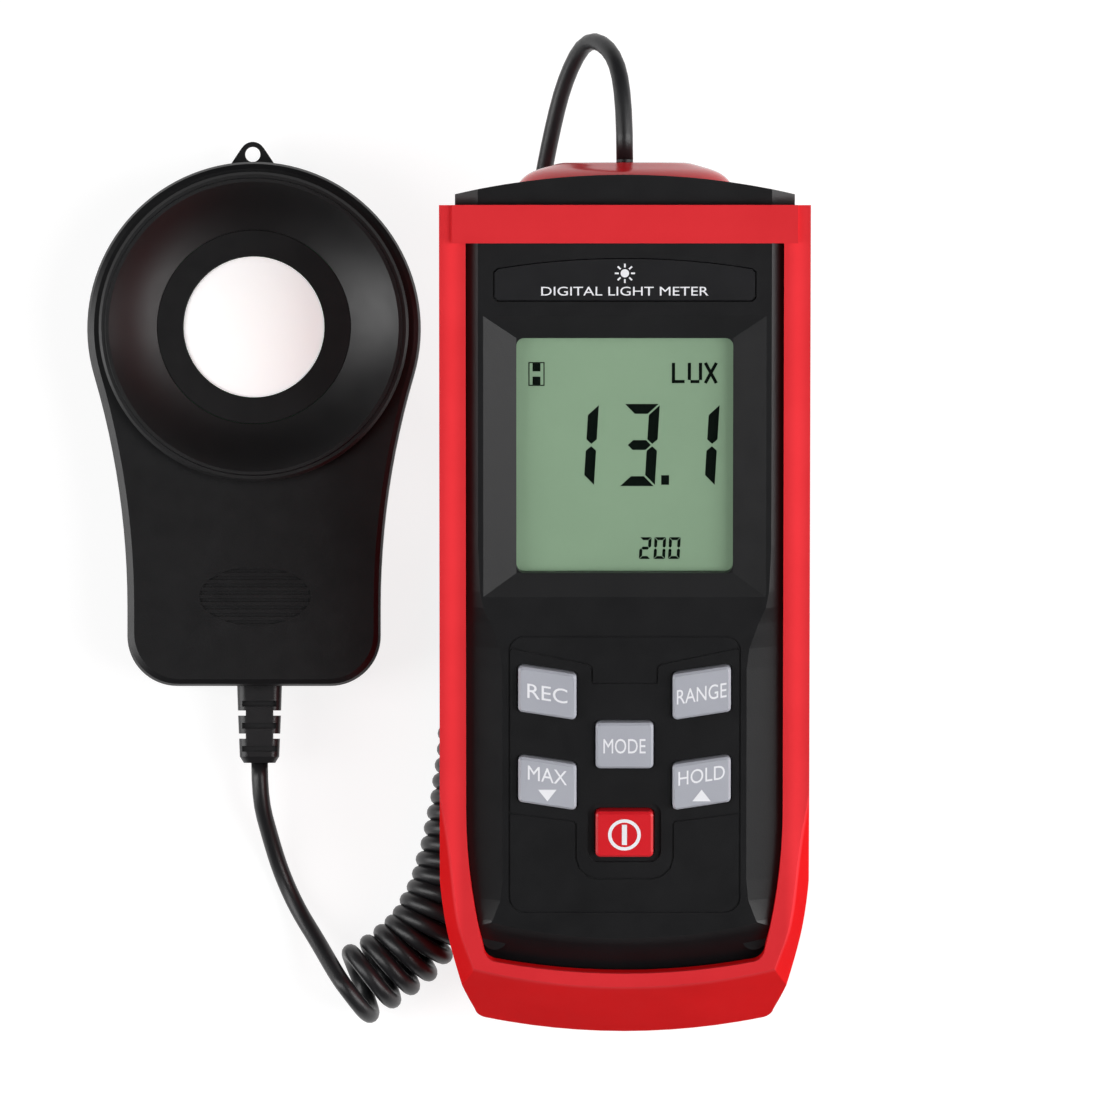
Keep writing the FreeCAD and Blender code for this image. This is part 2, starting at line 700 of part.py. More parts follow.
def cord_tail():
    """Held end of the cord, from the bush through the cap."""
    end = LEAD_METER_ROUTE[0]
    return rod(CORD_R, (METER_X, HEAD_Y - HEAD_WALL - 6, EXIT_Z), end)


def stand_reach():
    """Distance from the pivot to the middle of the stand's round foot."""
    tilt = math.radians(TILT)
    pivot_z = PIVOT_V * math.sin(tilt) + PIVOT_W * math.cos(tilt) - FOOT_FACET
    return (pivot_z - STAND_FOOT_R) / math.cos(math.radians(STAND_LEAN))


def tilt_stand():
    """Flap drawn folded flat, then swung open round its pin."""
    foot_v = PIVOT_V - stand_reach()
    half_thick = STAND_THICK / 2
    flap = box((-STAND_HALF, STAND_HALF), (foot_v, PIVOT_V), (PIVOT_W - half_thick, PIVOT_W + half_thick))
    window = rounded_plate(8.5, foot_v + 9, PIVOT_V - 8, 2.0, PIVOT_W - 3, PIVOT_W + 3)
    knuckle = rod(KNUCKLE_R, (-STAND_HALF, PIVOT_V, PIVOT_W), (STAND_HALF, PIVOT_V, PIVOT_W))
    foot = rod(STAND_FOOT_R, (-STAND_HALF, foot_v, PIVOT_W), (STAND_HALF, foot_v, PIVOT_W))
    shape = joined([flap.cut(window), knuckle, foot])
    shape = shape.cut(rod(PIN_R + PIN_FIT, (-30, PIVOT_V, PIVOT_W), (30, PIVOT_V, PIVOT_W)))
    shape.rotate(Vector(0, PIVOT_V, PIVOT_W), Vector(1, 0, 0), 90 + STAND_LEAN - TILT)
    return lean(shape)


def pin_rod():
    return rod(PIN_R, (-PIN_HALF, PIVOT_V, PIVOT_W), (PIN_HALF, PIVOT_V, PIVOT_W))


# ---- probe pieces ---------------------------------------------------------------------------
def paddle_face(inset, z):
    """Outline of the probe: a disc running out into a straight handle."""
    r = PROBE_R - inset
    half = HANDLE_HALF - inset
    end = HANDLE_END + inset
    neck = NECK_R + inset
    corner = HANDLE_CORNER - inset * 0.6
    # the neck's arc touches the disc and the handle's side
    across = half + neck
    drop = -math.sqrt((r + neck) ** 2 - across ** 2)
    touch = (across * r / (r + neck), drop * r / (r + neck))
    mid_y = (drop + touch[1]) / 2
    mid = (across - math.sqrt(neck ** 2 - (mid_y - drop) ** 2), mid_y)
    k = corner * (1 - math.sqrt(0.5))
    return even_face((0, end), [
        ((half - corner, end),),
        ((half - k, end + k), (half, end + corner)),
        ((half, drop),),
        (mid, touch),
        ((r * math.sqrt(0.5), r * math.sqrt(0.5)), (0, r)),
    ], z)


def probe_screw_places():
    return [(20.5 * side, y) for side in (-1, 1) for y in (-57.0, -16.0)]


def boot_hole():
    """Way for the strain relief's neck through the handle's end."""
    return rod(3.05, (BOOT_X, HANDLE_END - 3, BOOT_Z), (BOOT_X, HANDLE_END + 6, BOOT_Z))


def eyelet():
    """Lug for a lanyard on the probe's top edge."""
    low = SHELL_SPLIT - EYE_THICK
    hub_r = EYE_R + EYE_WALL
    lug = upright_rod(hub_r, (EYE_X, EYE_Y), low, SHELL_SPLIT)
    side = hub_r * 0.86
    web = prism([
        (EYE_X - EYE_BASE, 30.0, low), (EYE_X + EYE_BASE, 30.0, low), (EYE_X + EYE_BASE, 31.5, low),
        (EYE_X + side, EYE_Y + 1.3, low), (EYE_X - side, EYE_Y + 1.3, low),
        (EYE_X - EYE_BASE, 31.5, low)], (0, 0, EYE_THICK))
    return [lug, web]


def probe_rear_shell():
    foot = paddle_face(0.9, 0).extrude(Vector(0, 0, 1.0))
    side = paddle_face(0, 1.0).extrude(Vector(0, 0, SHELL_SPLIT - 1.0))
    body = joined([foot, side] + eyelet())
    body = body.cut(paddle_face(PROBE_WALL, PROBE_WALL).extrude(Vector(0, 0, SHELL_SPLIT)))
    body = joined([body] + [upright_rod(2.6, p, 1.0, SHELL_SPLIT) for p in probe_screw_places()])
    cuts = [upright_rod(EYE_R, (EYE_X, EYE_Y), SHELL_SPLIT - EYE_THICK - 1, SHELL_SPLIT + 1), boot_hole()]
    cuts += [upright_rod(1.3, p, -2, SHELL_SPLIT + 1) for p in probe_screw_places()]
    cuts += [upright_rod(2.3, p, -2, 2.0) for p in probe_screw_places()]
    return at_probe(body.cut(cuts))


def probe_front_shell():
    shoulder = PROBE_FACE - PROBE_RIM
    body = paddle_face(0, SHELL_SPLIT).extrude(Vector(0, 0, shoulder - SHELL_SPLIT))
    rim = [paddle_face(0, shoulder).OuterWire, paddle_face(0.4, shoulder + 0.85).OuterWire,
           paddle_face(PROBE_RIM, PROBE_FACE).OuterWire]
    body = body.fuse(Part.makeLoft(rim, True, True))
    inside = paddle_face(PROBE_WALL, SHELL_SPLIT - 1)
    body = body.cut(inside.extrude(Vector(0, 0, PROBE_FACE - PROBE_WALL - SHELL_SPLIT + 1)))
    body = joined([body] + [upright_rod(2.6, p, SHELL_SPLIT, PROBE_FACE - 1) for p in probe_screw_places()])
    seat = upright_rod(COLLAR_R - 1.5, (0, COLLAR_Y), SHELL_SPLIT - 1, PROBE_FACE + 1)
    cuts = [seat, boot_hole(), grip_recess()]
    cuts += [upright_rod(1.0, p, SHELL_SPLIT - 1, PROBE_FACE - 2.5) for p in probe_screw_places()]
    return at_probe(body.cut(cuts))


def grip_recess():
    """Oval thumb grip: a shallow recess that leaves fine ribs standing."""
    wide, high, y = GRIP
    pitch = 1.4
    pocket = Part.Face(Part.Wire(Part.Ellipse(Vector(0, y, 0), wide, high).toShape()))
    pocket = pocket.extrude(Vector(0, 0, 3))
    pocket.translate(Vector(0.2, 0, PROBE_FACE - 0.7))
    ribs = [box((-12, 12), (y - 6 + pitch * i, y - 5.3 + pitch * i), (PROBE_FACE - 1.0, PROBE_FACE - 0.12))
            for i in range(9)]
    return pocket.cut(ribs)


def dish_collar():
    """Raised ring whose inside falls as a dish towards the sensor."""
    low, foot = DISH_FLOOR - 1.6, PROBE_FACE + 0.02
    profile = [(DISH_INNER_R, low), (COLLAR_R - 1.6, low), (COLLAR_R - 1.6, foot), (COLLAR_R, foot),
               (COLLAR_R, COLLAR_TOP - 0.9), (COLLAR_R - 0.5, COLLAR_TOP - 0.4),
               (COLLAR_R - 1.1, COLLAR_TOP - 0.4), (COLLAR_R - 1.3, COLLAR_TOP), (DISH_R, COLLAR_TOP)]
    bowl = (0.5 * (DISH_R + DISH_INNER_R) + 0.4, 0.5 * (COLLAR_TOP + DISH_FLOOR) - 0.5)
    points = [(x, 0, z) for x, z in profile]
    edges = [Part.LineSegment(Vector(*a), Vector(*b)).toShape() for a, b in zip(points, points[1:])]
    rim, lip = Vector(DISH_R, 0, COLLAR_TOP), Vector(DISH_INNER_R, 0, DISH_FLOOR)
    edges.append(Part.Arc(rim, Vector(bowl[0], 0, bowl[1]), lip).toShape())
    edges.append(Part.LineSegment(lip, Vector(DISH_INNER_R, 0, low)).toShape())
    ring = Part.Face(Part.Wire(edges)).revolve(Vector(0, 0, 0), Vector(0, 0, 1), 360)
    ring.translate(Vector(0, COLLAR_Y, 0))
    return at_probe(ring)


def sensor_bezel():
    """Flat ring between the dish and the diffuser."""
    place = (0, COLLAR_Y)
    outer = upright_rod(DISH_INNER_R - 0.1, place, 13.0, DISH_FLOOR - 0.15)
    return at_probe(outer.cut(upright_rod(DIFFUSER_R, place, 12, 20)))


def diffuser():
    """White domed disc over the sensor."""
    top, rise, low = DISH_FLOOR + 0.6, 1.3, 14.0
    r = DIFFUSER_R - 0.1
    ball_r = (r ** 2 + rise ** 2) / (2 * rise)
    dome = Part.makeSphere(ball_r, Vector(0, COLLAR_Y, top - ball_r))
    return at_probe(dome.common(upright_rod(r, (0, COLLAR_Y), low, top + 1)))


def optical_filter():
    return at_probe(upright_rod(8.0, (0, COLLAR_Y), 11.6, 13.6))


def photodiode():
    base = box((-6, 6), (COLLAR_Y - 6, COLLAR_Y + 6), (8.6, 10.6))
    window = box((-4.5, 4.5), (COLLAR_Y - 4.5, COLLAR_Y + 4.5), (10.5, 11.2))
    return at_probe(base.fuse(window))


def probe_board():
    return at_probe(box((-15, 15), (-44, 16), (7.0, 8.6)))


def probe_screws():
    screws = []
    for place in probe_screw_places():
        head = upright_rod(2.1, place, 0.5, 2.0)
        shank = upright_rod(1.0, place, 2.0, PROBE_FACE - 3.5)
        screws.append(at_probe(head.fuse(shank).cut(cross_slot(place, 1.3, 0, 1.2))))
    return Part.makeCompound(screws)


def probe_boot():
    """Slotted rubber strain relief on the probe's end."""
    top = HANDLE_END
    end = top - BOOT_LONG
    sections = []
    for y, wide, deep in ((top, 4.25, 3.9), (top - 5, 4.1, 3.8), (end + 1.2, 3.75, 3.4), (end, 3.0, 2.8)):
        shape = box((BOOT_X - wide, BOOT_X + wide), (-1, 1), (BOOT_Z - deep, BOOT_Z + deep))
        shape = shape.makeFillet(1.6, edges_along(shape, Vector(0, 1, 0)))
        outline = shape.slice(Vector(0, 1, 0), 0)[0]
        outline.translate(Vector(0, y, 0))
        sections.append(outline)
    body = Part.makeLoft(sections, True, True)
    body = body.fuse(rod(3.0, (BOOT_X, top - 0.5, BOOT_Z), (BOOT_X, top + 4.5, BOOT_Z)))
    body = body.fuse(rod(4.4, (BOOT_X, top + 2.0, BOOT_Z), (BOOT_X, top + 4.5, BOOT_Z)))
    cuts = [rod(CORD_R, (BOOT_X, end - 2, BOOT_Z), (BOOT_X, top + 8, BOOT_Z))]
    for y in (top - 3.4, top - 7.6, top - 12.0):
        for low, high in ((BOOT_Z + 2.4, 20), (-5, BOOT_Z - 2.4)):
            cuts.append(box((BOOT_X - 3.3, BOOT_X + 3.3), (y - 0.55, y + 0.55), (low, high)))
    for y in (top - 5.2, top - 9.6):
        for side in (-1, 1):
            x = BOOT_X + side * 4.5
            cuts.append(box((x - 1.9, x + 1.9), (y - 0.5, y + 0.5), (0, 20)))
    return at_probe(body.cut(cuts))


def probe_cord_tail():
    """Held end of the cord, inside the strain relief and the handle."""
    return at_probe(rod(CORD_R, (BOOT_X, HANDLE_END - BOOT_LONG, BOOT_Z), (BOOT_X, HANDLE_END + 10, BOOT_Z)))


# ---- all pieces -----------------------------------------------------------------------------
def build():
    shell = case_shell()
    pieces = {
        "holster": holster(),
        "front_case": front_case(shell),
        "rear_case": rear_case(shell),
        "label_plate": label_plate(),
        "lcd_window": lcd_window(),
        "lcd_panel": lcd_panel(),
        "lcd_frame": lcd_frame(),
        "zebra_strips": zebra_strips(),
        "main_board": main_board(),
        "main_chip": main_chip(),
        "dome_contacts": dome_contacts(),
        "battery": battery(),
        "battery_snap": battery_snap(),
        "battery_leads": battery_leads(),
        "battery_door": battery_door(),
        "case_screws": case_screws(),
        "board_screws": board_screws(),
        "cord_cap": cord_cap(),
        "cord_bushing": cord_bushing(),
        "cord_tail": cord_tail(),
        "tilt_stand": tilt_stand(),
        "stand_pin": lean(pin_rod()),
        "probe_rear_shell": probe_rear_shell(),
        "probe_front_shell": probe_front_shell(),
        "dish_collar": dish_collar(),
        "sensor_bezel": sensor_bezel(),
        "diffuser": diffuser(),
        "optical_filter": optical_filter(),
        "photodiode": photodiode(),
        "probe_board": probe_board(),
        "probe_screws": probe_screws(),
        "probe_boot": probe_boot(),
        "probe_cord_tail": probe_cord_tail(),
        "cord_lead_meter": tube(LEAD_METER_ROUTE, CORD_R),
        "cord_coil": tube([(x, y, COIL_Z) for x, y in COIL_ROUTE], COIL_R),
        "cord_lead_probe": tube(LEAD_PROBE_ROUTE, CORD_R),
    }
    for name, corners in key_places().items():
        pieces[name] = key(corners)
    return pieces


os.makedirs("parts", exist_ok=True)
for node, shape in build().items():
    shape.exportStep(f"parts/{node}.step")
    bounds = shape.BoundBox
    print(f"{node:18s} solids {len(shape.Solids)} valid {shape.isValid()} volume {shape.Volume:9.1f}"
          f"  x {bounds.XMin:6.1f} {bounds.XMax:6.1f}  y {bounds.YMin:6.1f} {bounds.YMax:6.1f}"
          f"  z {bounds.ZMin:5.2f} {bounds.ZMax:5.2f}")
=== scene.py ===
import json
import math

import bpy
from mathutils import Matrix, Vector


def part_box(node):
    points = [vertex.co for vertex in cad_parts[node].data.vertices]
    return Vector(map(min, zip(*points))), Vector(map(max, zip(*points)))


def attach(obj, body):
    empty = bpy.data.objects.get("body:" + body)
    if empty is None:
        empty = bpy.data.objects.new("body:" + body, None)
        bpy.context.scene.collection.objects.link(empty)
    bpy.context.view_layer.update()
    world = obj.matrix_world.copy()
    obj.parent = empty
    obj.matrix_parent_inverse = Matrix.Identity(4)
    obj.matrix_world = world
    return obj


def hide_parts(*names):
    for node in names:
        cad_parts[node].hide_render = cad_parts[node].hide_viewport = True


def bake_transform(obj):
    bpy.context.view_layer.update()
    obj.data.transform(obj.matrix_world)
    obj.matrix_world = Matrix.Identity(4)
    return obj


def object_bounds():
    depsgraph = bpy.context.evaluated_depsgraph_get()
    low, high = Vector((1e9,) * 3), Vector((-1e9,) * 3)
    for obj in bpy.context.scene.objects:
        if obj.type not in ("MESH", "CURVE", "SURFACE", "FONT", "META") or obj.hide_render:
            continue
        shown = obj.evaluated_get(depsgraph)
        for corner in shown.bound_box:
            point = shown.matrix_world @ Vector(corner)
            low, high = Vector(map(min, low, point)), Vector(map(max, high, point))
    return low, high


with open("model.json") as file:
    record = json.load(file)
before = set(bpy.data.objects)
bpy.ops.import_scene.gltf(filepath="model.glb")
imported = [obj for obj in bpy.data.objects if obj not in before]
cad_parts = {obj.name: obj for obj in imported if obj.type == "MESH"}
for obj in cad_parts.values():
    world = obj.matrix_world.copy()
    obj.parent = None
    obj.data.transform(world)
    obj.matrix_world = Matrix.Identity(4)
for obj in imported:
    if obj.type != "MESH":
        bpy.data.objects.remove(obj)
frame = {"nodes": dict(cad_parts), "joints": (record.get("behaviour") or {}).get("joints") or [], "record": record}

# A light meter propped on its tilt stand, with its probe beside it. Metres.
cad_low, cad_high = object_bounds()
NODES = frame["nodes"]
MM = 0.001

# ---- the meter's own frame: u across, v along, w out of its face ------------------------------
press = next(j for j in frame["joints"] if j["name"] == "record_press")
TILT = math.atan2(press["axis"][1], -press["axis"][2])
TO_WORLD = Matrix.Rotation(TILT, 4, "X")
TO_METER = TO_WORLD.inverted()


def meter_box(node):
    """Lowest and highest corner of a CAD node in the meter's own, tilted frame."""
    points = [TO_METER @ v.co for v in NODES[node].data.vertices]
    low = Vector([min(p[i] for p in points) for i in range(3)])
    high = Vector([max(p[i] for p in points) for i in range(3)])
    return low, high


# ---- materials ---------------------------------------------------------------------------------
SHADE_SCALE = 55.0            # slow change of shade, per metre
SHADE_DETAIL = 4.0
GLOSS_SCALE = 240.0           # slow change of gloss, per metre
GLOSS_DETAIL = 3.0
GLOSS_LESS = 0.05             # how far the roughness goes below and above a material's own
GLOSS_MORE = 0.06
GRAIN_DETAIL = 2.0
NOISE_ROUGH = 0.55
SHADE_STOPS = (0.3, 0.7)      # where a noise reaches the darker and the lighter shade
BUMP = 0.5                    # strength of the moulded grain
FINE_DEPTH = 0.01 * MM        # depth of the grain on metal, display and diffuser

STRAP_RISE = 1.0 * MM         # how far the strap stands above the holster's rim
# painted shade: the holster's bevels and sides are coloured darker than its rim and strap
RED_SIDES_SHADE = ((0.55, 0.0030, 0.0045), (0.61, 0.0045, 0.0065))
RED_STRAP = ((0.56, 0.0230, 0.0285), (0.61, 0.0280, 0.0345))
# painted highlight: a paler red along the middle of the long rims, where a rounded rim would catch the light
RED_CREST_HIGHLIGHT = ((0.71, 0.0300, 0.0370), (0.77, 0.0360, 0.0450))
RED_ROUGH = 0.52
RED_GRAIN = 2600.0
RED_DEPTH = 0.03              # mm
RED_SPECULAR = 0.02
RIM_LOW = (-0.9 * MM, -0.2 * MM)    # where the sides' painted shade gives way to the rim's red, from the rim
RIM_HIGH = (0.3 * MM, 0.7 * MM)     # and the rim's to the strap's
CREST_HIGHLIGHT_X = 32.7 * MM           # from the holster's middle to the middle of a long rim
CREST_HIGHLIGHT_FAR = 2.6 * MM          # how far to each side the crest's painted highlight fades

GRIP_HALF_WIDE = 10.6 * MM    # the probe's oval thumb grip
GRIP_HALF_HIGH = 5.6 * MM
GRIP_Y = -51.0 * MM
GRIP_ROUGH = 0.13
GRIP_BUMP = 0.04
GRIP_EDGE = (0.98, 1.02)      # where the grip's polish ends, as a share of its size


class Paint:
    """Small helper round one material's node tree."""

    def __init__(self, name):
        self.material = bpy.data.materials.new(name)
        self.material.use_nodes = True
        self.tree = self.material.node_tree
        self.shader = self.tree.nodes["Principled BSDF"]
        self.place = self.tree.nodes.new("ShaderNodeTexCoord").outputs["Object"]

    def node(self, kind, **values):
        made = self.tree.nodes.new(kind)
        for key, value in values.items():
            if key in made.inputs:
                made.inputs[key].default_value = value
            else:
                setattr(made, key, value)
        return made

    def link(self, source, target):
        self.tree.links.new(source, target)

    def set(self, **values):
        for key, value in values.items():
            self.shader.inputs[key.replace("_", " ")].default_value = value

    def noise(self, scale, detail=3.0):
        made = self.node("ShaderNodeTexNoise", Scale=scale, Detail=detail, Roughness=NOISE_ROUGH)
        self.link(self.place, made.inputs["Vector"])
        return made.outputs["Fac"]

    def along(self, direction, start, end):
        """0 before one place along a direction and 1 after another."""
        dot = self.node("ShaderNodeVectorMath", operation="DOT_PRODUCT")
        self.link(self.place, dot.inputs[0])
        dot.inputs[1].default_value = direction
        return self.step(dot.outputs["Value"], start, end)

    def step(self, source, start, end, kind="LINEAR"):
        """0 where a value is at its start and 1 where it is at its end."""
        made = self.node("ShaderNodeMapRange", interpolation_type=kind)
        made.inputs["From Min"].default_value = start
        made.inputs["From Max"].default_value = end
        self.link(source, made.inputs["Value"])
        return made.outputs["Result"]

    def spread(self, source, low, high):
        """A 0 to 1 value spread over another range."""
        made = self.node("ShaderNodeMapRange")
        made.inputs["To Min"].default_value = low
        made.inputs["To Max"].default_value = high
        self.link(source, made.inputs["Value"])
        return made.outputs["Result"]

    def times(self, first, second):
        made = self.node("ShaderNodeMath", operation="MULTIPLY")
        self.link(first, made.inputs[0])
        self.link(second, made.inputs[1])
        return made.outputs["Value"]

    def vector(self, operation, source, value):
        """A vector worked on by a constant one."""
        made = self.node("ShaderNodeVectorMath", operation=operation)
        self.link(source, made.inputs[0])
        made.inputs[1].default_value = value
        return made.outputs["Vector"]

    def mix(self, share, first, second):
        made = self.node("ShaderNodeMixRGB")
        self.link(share, made.inputs["Fac"])
        self.link(first, made.inputs["Color1"])
        self.link(second, made.inputs["Color2"])
        return made.outputs["Color"]

    def shades(self, source, first, second):
        """Colour that goes from one shade to another with a noise."""
        made = self.node("ShaderNodeValToRGB")
        for stop, colour, place in zip(made.color_ramp.elements, (first, second), SHADE_STOPS):
            stop.color = (*colour, 1)
            stop.position = place
        self.link(source, made.inputs["Fac"])
        return made.outputs["Color"]

    def vary_colour(self, source, first, second):
        self.link(self.shades(source, first, second), self.shader.inputs["Base Color"])

    def vary_roughness(self, source, low, high):
        self.link(self.spread(source, low, high), self.shader.inputs["Roughness"])

    def bump(self, source, strength, distance):
        made = self.node("ShaderNodeBump", Strength=strength, Distance=distance)
        self.link(source, made.inputs["Height"])
        self.link(made.outputs["Normal"], self.shader.inputs["Normal"])


def moulded(name, dark, light, rough, grain, depth, specular):
    """Moulded plastic or rubber: fine spark texture, slow change of shade and gloss."""
    paint = Paint(name)
    paint.vary_colour(paint.noise(SHADE_SCALE, SHADE_DETAIL), dark, light)
    paint.vary_roughness(paint.noise(GLOSS_SCALE, GLOSS_DETAIL), rough - GLOSS_LESS, rough + GLOSS_MORE)
    paint.bump(paint.noise(grain, GRAIN_DETAIL), BUMP, depth * MM)
    paint.set(Specular_IOR_Level=specular)
    return paint


# name: darker and lighter shade, roughness, grain per metre, grain depth in mm, specular level
MOULDED = {
    "black_case": ((0.0042, 0.0042, 0.0048), (0.0066, 0.0066, 0.0074), 0.37, 3400.0, 0.03, 0.38),
    "label_plate": ((0.0060, 0.0060, 0.0070), (0.0095, 0.0095, 0.0108), 0.36, 5200.0, 0.02, 0.42),
    "black_plastic": ((0.006, 0.006, 0.0066), (0.010, 0.010, 0.011), 0.46, 3000.0, 0.03, 0.4),
    "probe_satin": ((0.0036, 0.0036, 0.0041), (0.0056, 0.0056, 0.0063), 0.40, 4200.0, 0.012, 0.45),
    "cord_rubber": ((0.0075, 0.0075, 0.0083), (0.012, 0.012, 0.0135), 0.38, 1800.0, 0.03, 0.42),
    "grey_key": ((0.325, 0.332, 0.372), (0.362, 0.370, 0.412), 0.42, 3000.0, 0.02, 0.5),
    "red_key": ((0.54, 0.006, 0.012), (0.59, 0.009, 0.016), 0.36, 3000.0, 0.02, 0.45),
    "red_gloss": ((0.56, 0.012, 0.018), (0.62, 0.018, 0.024), 0.16, 1500.0, 0.006, 0.5),
    "white_plastic": ((0.76, 0.76, 0.73), (0.82, 0.82, 0.80), 0.45, 2400.0, 0.02, 0.5),
    "zebra_rubber": ((0.05, 0.05, 0.055), (0.32, 0.32, 0.34), 0.55, 2600.0, 0.02, 0.5),
    "circuit_board": ((0.008, 0.13, 0.035), (0.014, 0.20, 0.06), 0.34, 900.0, 0.04, 0.5),
    "chip_epoxy": ((0.012, 0.012, 0.012), (0.020, 0.020, 0.020), 0.50, 3200.0, 0.02, 0.5),
    "battery_can": ((0.03, 0.035, 0.045), (0.06, 0.065, 0.08), 0.30, 1200.0, 0.01, 0.5),
    "wire_red": ((0.45, 0.012, 0.012), (0.52, 0.02, 0.02), 0.40, 1800.0, 0.02, 0.5),
    "print_white": ((0.70, 0.70, 0.73), (0.76, 0.76, 0.79), 0.45, 4000.0, 0.01, 0.4),
    "segment_dark": ((0.001, 0.003, 0.002), (0.002, 0.005, 0.003), 0.40, 4000.0, 0.005, 0.05),
}
PROBE_LOOK = ((0.0046, 0.0046, 0.0052), (0.0072, 0.0072, 0.0080), 0.35, 3600.0, 0.025, 0.38)
# name: colour, roughness
METALS = {
    "screw_steel": ((0.55, 0.55, 0.57), 0.32),
    "contact_metal": ((0.72, 0.70, 0.64), 0.26),
}
# name: colour, opacity, index of refraction, gloss noise per metre, lowest and highest roughness
GLASSES = {
    "clear_window": ((0.01, 0.014, 0.012), 0.08, 1.49, 400.0, 0.03, 0.09),
    "filter_glass": ((0.20, 0.62, 0.30), 0.55, 1.52, 300.0, 0.04, 0.10),
}
METAL_DARKER = 0.85           # darker shade of a metal, as a share of its colour
# painted light: the display glows to lift the shade that its recess casts on it
LCD_PAINTED_GLOW = 0.32
# painted light: the diffuser glows to stay white where its dish shades it
DIFFUSER_PAINTED_GLOW = 0.38


def metal(name, colour, rough):
    paint = Paint(name)
    paint.set(Metallic=1.0)
    paint.vary_colour(paint.noise(300.0), tuple(METAL_DARKER * c for c in colour), colour)
    paint.vary_roughness(paint.noise(1400.0), rough - 0.06, rough + 0.1)
    paint.bump(paint.noise(2200.0), 0.2, FINE_DEPTH)
    return paint.material


def glass(name, colour, opacity, refraction, scale, smoothest, roughest):
    paint = Paint(name)
    paint.set(Base_Color=(*colour, 1), Alpha=opacity, IOR=refraction)
    paint.vary_roughness(paint.noise(scale), smoothest, roughest)
    return paint.material


def make_materials():
    made = {name: moulded(name, *look).material for name, look in MOULDED.items()}
    made.update({name: metal(name, *look) for name, look in METALS.items()})
    made.update({name: glass(name, *look) for name, look in GLASSES.items()})
    made["red_rubber"] = red_rubber()
    made["probe_plastic"] = probe_plastic()
    made["lcd_glass"] = lcd_glass()
    made["diffuser_white"] = diffuser_white()
    return made


def red_rubber():
    """The holster's rubber, with painted shade that makes its bevels and sides a deeper red than its rim.

    Its long rims are rounded on the real object and flat here. A paler crest along each, a painted highlight,
    stands for that.
    """
    paint = moulded("red_rubber", *RED_STRAP, RED_ROUGH, RED_GRAIN, RED_DEPTH, RED_SPECULAR)
    slow = paint.noise(SHADE_SCALE, SHADE_DETAIL)
    up = TO_WORLD @ Vector((0, 0, 1))
    low, high = meter_box("holster")
    rim = high.z - STRAP_RISE
    above = paint.along(up, rim + RIM_LOW[0], rim + RIM_LOW[1])
    # painted highlight along the middle of the long rims
    crest_highlight = paint.times(above, rim_crest_highlight(paint, (low.x + high.x) / 2))
    strap = paint.along(up, rim + RIM_HIGH[0], rim + RIM_HIGH[1])
    # painted shade: the colour starts as the darker red of the sides and bevels
    colour = paint.shades(slow, *RED_SIDES_SHADE)
    for share, look in ((above, RED_STRAP), (crest_highlight, RED_CREST_HIGHLIGHT), (strap, RED_STRAP)):
        colour = paint.mix(share, colour, paint.shades(slow, *look))
    paint.link(colour, paint.shader.inputs["Base Color"])
    return paint.material


def rim_crest_highlight(paint, middle):
    """Mask of the painted highlight: 1 along the middle of both long rims, falling to 0 at their edges."""
    split = paint.node("ShaderNodeSeparateXYZ")
    paint.link(paint.place, split.inputs["Vector"])
    source = split.outputs["X"]
    for shift in (middle, CREST_HIGHLIGHT_X):
        moved = paint.node("ShaderNodeMath", operation="SUBTRACT")
        paint.link(source, moved.inputs[0])
        moved.inputs[1].default_value = shift
        size = paint.node("ShaderNodeMath", operation="ABSOLUTE")
        paint.link(moved.outputs["Value"], size.inputs[0])
        source = size.outputs["Value"]
    return paint.step(source, CREST_HIGHLIGHT_FAR, 0.0, "SMOOTHSTEP")


def probe_plastic():
    """The probe's plastic, polished and so darker inside the oval thumb grip."""
    rough = PROBE_LOOK[2]
    paint = moulded("probe_plastic", *PROBE_LOOK)
    low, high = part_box("probe_front_shell")
    away = paint.vector("SUBTRACT", paint.place, ((low.x + high.x) / 2, GRIP_Y, 0))
    shrunk = paint.vector("MULTIPLY", away, (1 / GRIP_HALF_WIDE, 1 / GRIP_HALF_HIGH, 0))
    far = paint.node("ShaderNodeVectorMath", operation="LENGTH")
    paint.link(shrunk, far.inputs[0])
    outside = paint.step(far.outputs["Value"], *GRIP_EDGE)
    gloss = paint.spread(paint.noise(GLOSS_SCALE, GLOSS_DETAIL), rough - GLOSS_LESS, rough + GLOSS_MORE)
    polished = paint.times(paint.spread(outside, GRIP_ROUGH / rough, 1.0), gloss)
    paint.link(polished, paint.shader.inputs["Roughness"])
    bump = paint.shader.inputs["Normal"].links[0].from_node
    paint.link(paint.spread(outside, GRIP_BUMP, BUMP), bump.inputs["Strength"])
    return paint.material


def lcd_glass():
    """Grey-green reflective display with a very fine haze, and a painted glow that lifts the shade of its recess.
    """
    paint = Paint("lcd_glass")
    paint.vary_colour(paint.noise(30.0, 5.0), (0.185, 0.280, 0.183), (0.212, 0.318, 0.208))
    # painted light: a glow that lifts the recess's shade, though the display is no lamp
    paint.set(Emission_Color=(0.26, 0.39, 0.255, 1), Emission_Strength=LCD_PAINTED_GLOW)
    paint.vary_roughness(paint.noise(500.0), 0.38, 0.5)
    paint.bump(paint.noise(5000.0, 1.0), 0.15, FINE_DEPTH)
    return paint.material


